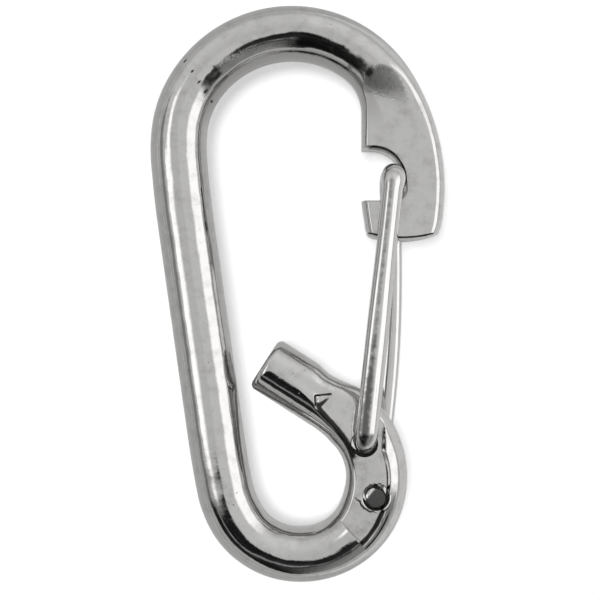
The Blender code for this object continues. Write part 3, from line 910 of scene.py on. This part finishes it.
class Tree:
    """Short calls that add nodes to a node tree and join their sockets."""

    def __init__(self, owner):
        owner.use_nodes = True
        self.nodes = owner.node_tree.nodes
        self.links = owner.node_tree.links
        self.nodes.clear()

    def add(self, kind, inputs=None, **settings):
        """A node with its settings, and with each input set to a value or joined to a socket."""
        node = self.nodes.new(kind)
        for key, value in settings.items():
            setattr(node, key, value)
        for key, value in (inputs or {}).items():
            if isinstance(value, bpy.types.NodeSocket):
                self.links.new(value, node.inputs[key])
            else:
                node.inputs[key].default_value = value
        return node

    def math(self, operation, *values):
        """The outcome of an operation on one value, or on several from left to right."""
        outcome = values[0]
        for value in values[1:] or (0.0,):
            outcome = self.add("ShaderNodeMath", {0: outcome, 1: value}, operation=operation).outputs[0]
        return outcome

    def plus(self, *values):
        """The sum of several values."""
        return self.math("ADD", *values)

    def minus(self, first, second):
        """The first value less the second."""
        return self.math("SUBTRACT", first, second)

    def times(self, *values):
        """The product of several values."""
        return self.math("MULTIPLY", *values)

    def over(self, first, second):
        """The first value divided by the second."""
        return self.math("DIVIDE", first, second)

    def most(self, *values):
        """The highest of several values."""
        return self.math("MAXIMUM", *values)

    def smooth(self, value, low, high, start=0.0, end=1.0):
        """A smooth change from start to end as a value goes from low to high."""
        inputs = {"Value": value, "From Min": low, "From Max": high, "To Min": start, "To Max": end}
        return self.add("ShaderNodeMapRange", inputs, interpolation_type="SMOOTHSTEP").outputs["Result"]

    def between(self, value, start, full, fade, end):
        """A smooth rise from 0 at start to 1 at full, and a smooth fall from fade to 0 at end."""
        return self.times(self.smooth(value, start, full), self.smooth(value, fade, end, 1.0, 0.0))

    def window(self, value, low, high, soft):
        """1 between low and high, and 0 outside, with soft edges."""
        return self.between(value, low - soft, low + soft, high - soft, high + soft)

    def blend(self, share, first, second):
        """A value between two, by a share."""
        inputs = {"Factor": share, 2: first, 3: second}
        return self.add("ShaderNodeMix", inputs, data_type="FLOAT").outputs[0]

    def tint(self, share, first, second):
        """A colour between two, by a share."""
        inputs = {"Factor": share, 6: first, 7: second}
        return self.add("ShaderNodeMix", inputs, data_type="RGBA").outputs[2]

    def noise(self, vector, scale, detail=2.0, roughness=0.5):
        """Fractal noise at a scale."""
        inputs = {"Vector": vector, "Scale": scale, "Detail": detail, "Roughness": roughness}
        return self.add("ShaderNodeTexNoise", inputs).outputs["Fac"]

    def place(self):
        """Place on the piece, in metres."""
        return self.add("ShaderNodeTexCoord").outputs["Object"]

    def mark(self, name):
        """A value that the piece's vertices carry."""
        return self.add("ShaderNodeAttribute", attribute_name=name).outputs["Fac"]

    def bump(self, height, distance=MICRON, strength=1.0):
        """The normal of a surface with a height, which counts in the given distance."""
        inputs = {"Height": height, "Distance": distance, "Strength": strength}
        return self.add("ShaderNodeBump", inputs).outputs["Normal"]

    def surface(self, sockets):
        """A principled shader with its sockets, as the material's surface."""
        shader = self.add("ShaderNodeBsdfPrincipled", sockets)
        self.add("ShaderNodeOutputMaterial", {"Surface": shader.outputs["BSDF"]})


def polished_steel(finish):
    """Tumble-polished bar: long forging waves, short ripples, a fine peel and sparse pits.

    Marks on the vertices say where a tool left it rough, where a flat was pressed, where it was less
    polished (in the holes), where the bow's inner wall is painted darker as shade, and where painted
    shade darkens corners and edges and painted dark reflection lies on the bow. A scale is the number of
    patterns in a metre.
    """
    material = bpy.data.materials.new("polished_steel")
    tree = Tree(material)
    place_of = tree.place()
    flat, bore_and_wall_shade = tree.mark("pressed"), tree.mark("bore_and_wall_shade")
    wave = tree.noise(place_of, 200.0, 1.0)
    ripple = tree.noise(place_of, 620.0, 2.0, 0.5)
    peel = tree.noise(place_of, 2600.0, 2.0, 0.6)
    wear = tree.noise(place_of, 480.0, 4.0, 0.65)
    grain = tree.noise(place_of, 3000.0, 4.0, 0.7)
    rough_mark = tree.smooth(tree.plus(tree.mark("tool_mark"), tree.times(grain, 1.2)), 0.78, 1.18)
    # The mask of painted shade: darkening in corners and along edges, and the painted dark reflection on
    # the bow.
    shade_paint = tree.smooth(tree.plus(tree.mark("painted_shade"), tree.times(ripple, 0.7)), 0.7, 1.1)
    cells = tree.add("ShaderNodeTexVoronoi", {"Vector": place_of, "Scale": 480.0, "Randomness": 1.0})
    few = tree.smooth(tree.noise(place_of, 130.0, 0.0), 0.52, 0.6)
    pit = tree.times(tree.smooth(cells.outputs["Distance"], 0.04, 0.085, 1.0, 0.0), few)
    height = tree.plus(
        tree.times(wave, finish.wave), tree.times(ripple, finish.ripple), tree.times(peel, finish.peel),
        tree.times(pit, -finish.pits), tree.times(rough_mark, grain, ROUGH_DEPTH),
    )
    rough = tree.plus(
        tree.smooth(wear, 0.35, 0.75, finish.polish * 0.75, finish.polish * 1.6), tree.times(flat, 0.07),
        tree.times(rough_mark, 0.3), tree.times(bore_and_wall_shade, 0.35), tree.times(shade_paint, 0.2),
    )
    # Worn, rough, pitted and unpolished steel, and the painted shade on the bow's inner wall.
    dull = tree.most(
        tree.times(tree.smooth(wear, 0.42, 0.8), 0.35),
        tree.times(rough_mark, tree.smooth(grain, 0.35, 0.65, 0.5, 0.0)),
        tree.times(pit, 0.9), bore_and_wall_shade,
    )
    steel = tree.tint(dull, opaque(finish.steel), opaque(finish.steel_dull_and_shaded))
    tree.surface({
        "Base Color": tree.tint(shade_paint, steel, opaque(finish.shade_paint)),
        "Metallic": 1.0, "Roughness": rough, "Normal": tree.bump(height),
    })
    return material


def drawn_wire(finish):
    """Bright drawn wire: faint lines along it, fine grain, a rubbed stripe per leg, painted shade on each
    foot's end.
    """
    material = bpy.data.materials.new("drawn_wire")
    tree = Tree(material)
    place_of = tree.place()
    along = tree.add("ShaderNodeUVMap", uv_map="drawn").outputs["UV"]
    lines = tree.add("ShaderNodeMapping", {"Vector": along, "Scale": (0.16, 9.0, 1.0)}).outputs["Vector"]
    streak = tree.noise(lines, 1.0, 3.0, 0.6)
    wear = tree.noise(place_of, 700.0, 4.0, 0.65)
    peel = tree.noise(place_of, 2900.0, 2.0, 0.5)
    wave = tree.noise(place_of, 260.0, 1.0)
    rub_and_end_shade = tree.smooth(tree.times(tree.mark("rub_and_end_shade"), tree.plus(tree.times(wear, 1.5), 0.15)), 0.18, 0.7)
    height = tree.plus(tree.times(streak, 1.6), peel, tree.times(wave, 4.0))
    rough = tree.plus(tree.smooth(streak, 0.3, 0.75, 0.06, 0.13), tree.times(rub_and_end_shade, 0.12))
    shade = tree.times(tree.smooth(streak, 0.45, 0.8), tree.smooth(wear, 0.3, 0.7, 0.1, 0.5))
    tree.surface({
        "Base Color": tree.tint(tree.most(shade, rub_and_end_shade), opaque(finish.wire), opaque(finish.wire_rubbed_and_shaded)),
        "Metallic": 1.0, "Roughness": rough, "Normal": tree.bump(height),
    })
    return material


def studio_world(stage):
    """A plain studio round the hook: grey above, light panels left and right, and an unlit side by the eye.

    A direction is turned into a point on a ceiling at height 1, where each panel is a soft-edged
    rectangle or wedge. The unlit side starts at a line that slopes away on both sides, and a narrow gleam
    crosses it at one distance. The camera itself sees plain white, and so do reflections close to the
    horizon.
    """
    world = bpy.data.worlds.new("studio")
    tree = Tree(world)
    way = tree.add("ShaderNodeTexCoord").outputs["Generated"]
    parts = tree.add("ShaderNodeSeparateXYZ", {0: way}).outputs
    up = tree.most(parts[2], 0.04)
    across = tree.over(parts[0], up)
    along = tree.over(parts[1], up)
    spread = tree.math("SQRT", tree.plus(tree.times(across, across), tree.times(along, along)))
    level = tree.times(
        tree.smooth(parts[2], 0.12, 0.5, stage.overhead * 0.72, stage.overhead),
        tree.smooth(along, 0.1, 0.9, 1.0, 1.15), tree.smooth(across, 0.0, 0.13, 1.0, 1.12),
    )
    band = tree.times(tree.window(across, -3.6, -1.75, 0.25), tree.window(along, -1.4, 1.2, 0.3))
    level = tree.blend(band, level, stage.overhead * 0.42)
    near_left = tree.times(tree.between(across, *NEAR_LEFT), tree.window(along, -0.42, 0.2, 0.08))
    far_left = tree.times(tree.between(across, *FAR_LEFT), tree.window(along, 0.06, 0.5, 0.14))
    level = tree.blend(tree.most(near_left, far_left), level, stage.left)
    wedge = tree.over(along, tree.most(across, 0.01))
    right = tree.times(tree.between(across, *RIGHT_ACROSS), tree.between(wedge, *RIGHT_WEDGE))
    level = tree.blend(right, level, stage.right)
    slope = tree.plus(along, tree.times(tree.math("ABSOLUTE", across), 0.25))
    soft = tree.most(tree.smooth(across, -0.9, 0.0, 0.4, 0.09), tree.smooth(across, 0.2, 0.9, 0.09, 0.45))
    start = tree.smooth(across, -0.06, 0.05, -0.12, -0.2)
    start = tree.plus(start, tree.smooth(across, 0.2, 0.9, 0.0, 0.2))
    depth = tree.over(tree.minus(start, slope), soft)
    past = tree.minus(spread, tree.smooth(across, -1.2, -0.2, 2.4, 4.1))
    dark = tree.times(tree.smooth(depth, 0.0, 1.0), tree.smooth(past, -0.4, 0.4, 1.0, 0.0))
    smear = tree.smooth(tree.noise(way, 5.0, 3.0, 0.6), 0.52, 0.75, 0.0, 0.05)
    outer = tree.times(tree.smooth(spread, 0.8, 1.1), tree.smooth(across, -0.4, 0.8, 0.0, 0.25))
    unlit = tree.plus(tree.smooth(across, -0.2, 0.6, stage.dark, stage.dark * 3.0), smear, outer)
    level = tree.blend(dark, level, unlit)
    patchy = tree.smooth(tree.noise(way, 9.0, 2.0), 0.42, 0.6)
    patchy = tree.times(patchy, tree.smooth(across, 0.3, 0.6, 1.0, 0.0))
    whole_left = tree.smooth(across, -0.1, 0.1, 1.0, 0.0)
    beside = tree.minus(spread, tree.smooth(across, -0.65, -0.1, 1.1, 0.77))
    gleam = tree.times(tree.window(beside, -0.07, 0.07, 0.07), tree.most(patchy, whole_left), dark)
    level = tree.blend(gleam, level, stage.overhead * 0.52)
    path = tree.add("ShaderNodeLightPath").outputs
    mirrored = tree.most(path["Is Glossy Ray"], path["Is Transmission Ray"])
    low = tree.smooth(parts[2], 0.0, 0.02, 1.0, 0.0)
    seen = tree.most(path["Is Camera Ray"], tree.times(mirrored, low))
    light = tree.add("ShaderNodeBackground", {"Color": WHITE, "Strength": tree.blend(seen, level, 1.0)})
    tree.add("ShaderNodeOutputWorld", {"Surface": light.outputs["Background"]})
    return world


def floor_paint(stage):
    """Matt white board with a faint tooth, lit a little from below as a light table is.

    The camera sees the whole glow, and reflections see a share of it that grows towards the gate's side.
    """
    material = bpy.data.materials.new("white_board")
    tree = Tree(material)
    place_of = tree.place()
    path = tree.add("ShaderNodeLightPath").outputs
    across = tree.add("ShaderNodeSeparateXYZ", {0: place_of}).outputs[0]
    mirrored = tree.times(path["Is Glossy Ray"], tree.smooth(across, 0.016, 0.034, 0.1, 0.57))
    glow = tree.plus(tree.most(path["Is Camera Ray"], path["Is Transmission Ray"]), mirrored)
    tree.surface({
        "Base Color": opaque(stage.floor), "Roughness": 0.9, "Specular IOR Level": 0.0,
        "Normal": tree.bump(tree.noise(place_of, 900.0, 2.0), 2.0 * MICRON, 0.5),
        "Emission Color": WHITE, "Emission Strength": tree.times(glow, stage.glow),
    })
    return material


class SNAPHOOK_OT_body(bpy.types.Operator):
    """Build the bent and pressed bar with its catch notch and its two gate holes"""

    bl_idname = "snaphook.body"
    bl_label = "Hook body"

    def execute(self, context):
        form = context.scene.snaphook_form
        gate = context.scene.snaphook_gate
        piece = add_object("hook_bar", closed_mesh("hook_bar", hook_grid(form), "bowed"))
        cut(piece, [
            cutter("catch", lambda grow: catch_outline(form, grow), form.nose, form.catch_edge),
            hole_cutter("front_hole", form, FRONT_HOLE),
            hole_cutter("back_hole", form, lower_hole(form)),
            crease(form),
        ])
        mesh = piece.data
        bpy.data.objects.remove(piece)
        if len(mesh.vertices) < FEWEST_POINTS or gate.wire >= form.hole:
            raise RuntimeError("the hook's body could not be cut")
        mark_body(form, mesh)
        body = place("hook_polished", mesh, BODY_SHARP)
        body.data.materials.clear()
        body.data.materials.append(polished_steel(context.scene.snaphook_finish))
        even = body.modifiers.new("even_normals", "WEIGHTED_NORMAL")
        even.keep_sharp = True
        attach(body, "hook")
        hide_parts("hook_body")
        return {"FINISHED"}


class SNAPHOOK_OT_gate(bpy.types.Operator):
    """Build the gate's wire in two halves that meet in the middle of the crossbar"""

    bl_idname = "snaphook.gate"
    bl_label = "Gate wire"

    def execute(self, context):
        hook = context.scene.snaphook_form
        form = context.scene.snaphook_gate
        finish = drawn_wire(context.scene.snaphook_finish)
        back_foot = lower_hole(hook) + BACK_FOOT_SEAT
        halves = (
            ("gate_front_wire", FRONT_HOLE, 0.0, 1.0, "gate_front", "gate_front_leg"),
            ("gate_back_wire", back_foot, form.bow, -1.0, "gate_back", "gate_back_leg"),
        )
        for name, foot, bow, facing, body, node in halves:
            grid, rub_and_end_shade = wire_grid(form, hook, foot, bow, facing)
            if not np.isfinite(grid).all():
                raise RuntimeError("the gate's wire could not be laid out")
            mesh = closed_mesh(name, grid, "flat")
            wire_uv(mesh, grid)
            mark(mesh, "rub_and_end_shade", rub_and_end_shade.ravel())
            piece = place(name, mesh, WIRE_SHARP)
            piece.data.materials.append(finish)
            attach(piece, body)
            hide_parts(node)
        return {"FINISHED"}


class SNAPHOOK_OT_stage(bpy.types.Operator):
    """Set up the white board, the studio light and the camera straight above the hook"""

    bl_idname = "snaphook.stage"
    bl_label = "Stage"

    def execute(self, context):
        scene, stage = context.scene, context.scene.snaphook_stage
        scene.view_settings.view_transform = "Standard"
        scene.world = studio_world(stage)
        scene.world.cycles_visibility.diffuse = False
        board = bpy.data.meshes.new("white_board")
        corners = np.array([[-1.0, -1.0, 0.0], [1.0, -1.0, 0.0], [1.0, 1.0, 0.0], [-1.0, 1.0, 0.0]])
        board.from_pydata((FLOOR_REACH * corners).tolist(), [], [(0, 1, 2, 3)])
        board.materials.append(floor_paint(stage))
        add_object("white_board", board)
        key = bpy.data.lights.new("key", "SUN")
        key.energy = stage.key
        key.angle = KEY_SOFTNESS
        lamp = add_object("key", key)
        lamp.rotation_euler = KEY_TURN
        lamp.visible_glossy = False
        camera = bpy.data.cameras.new("straight_above")
        camera.lens = camera.sensor_width * stage.height / stage.width
        camera.clip_start = 0.01
        scene.camera = add_object("straight_above", camera)
        scene.camera.location = (stage.aim_x, stage.aim_y, EYE[2] + stage.height)
        return {"FINISHED"}


class SNAPHOOK_PT_panel(bpy.types.Panel):
    """Buttons and sizes of the snap hook"""

    bl_idname = "SNAPHOOK_PT_panel"
    bl_label = "Snap hook"
    bl_space_type = "VIEW_3D"
    bl_region_type = "UI"
    bl_category = "Snap hook"

    def draw(self, context):
        layout = self.layout
        for operator in (SNAPHOOK_OT_body, SNAPHOOK_OT_gate, SNAPHOOK_OT_stage):
            layout.operator(operator.bl_idname)
        for group in GROUPS:
            box = layout.box()
            for name in GROUPS[group].__annotations__:
                box.prop(getattr(context.scene, group), name)


GROUPS = {
    "snaphook_form": HookForm,
    "snaphook_gate": GateForm,
    "snaphook_finish": HookFinish,
    "snaphook_stage": HookStage,
}
CLASSES = (*GROUPS.values(), SNAPHOOK_OT_body, SNAPHOOK_OT_gate, SNAPHOOK_OT_stage, SNAPHOOK_PT_panel)


def register():
    """Registers the classes and hangs the property groups on the scene."""
    for each in CLASSES:
        bpy.utils.register_class(each)
    for name, group in GROUPS.items():
        setattr(bpy.types.Scene, name, PointerProperty(type=group))


def unregister():
    """Undoes what register did, in reverse."""
    for name in GROUPS:
        delattr(bpy.types.Scene, name)
    for each in reversed(CLASSES):
        bpy.utils.unregister_class(each)


def main():
    """Builds the stage and the pieces."""
    register()
    bpy.ops.snaphook.stage()
    bpy.ops.snaphook.body()
    bpy.ops.snaphook.gate()


if __name__ == "__main__":
    main()
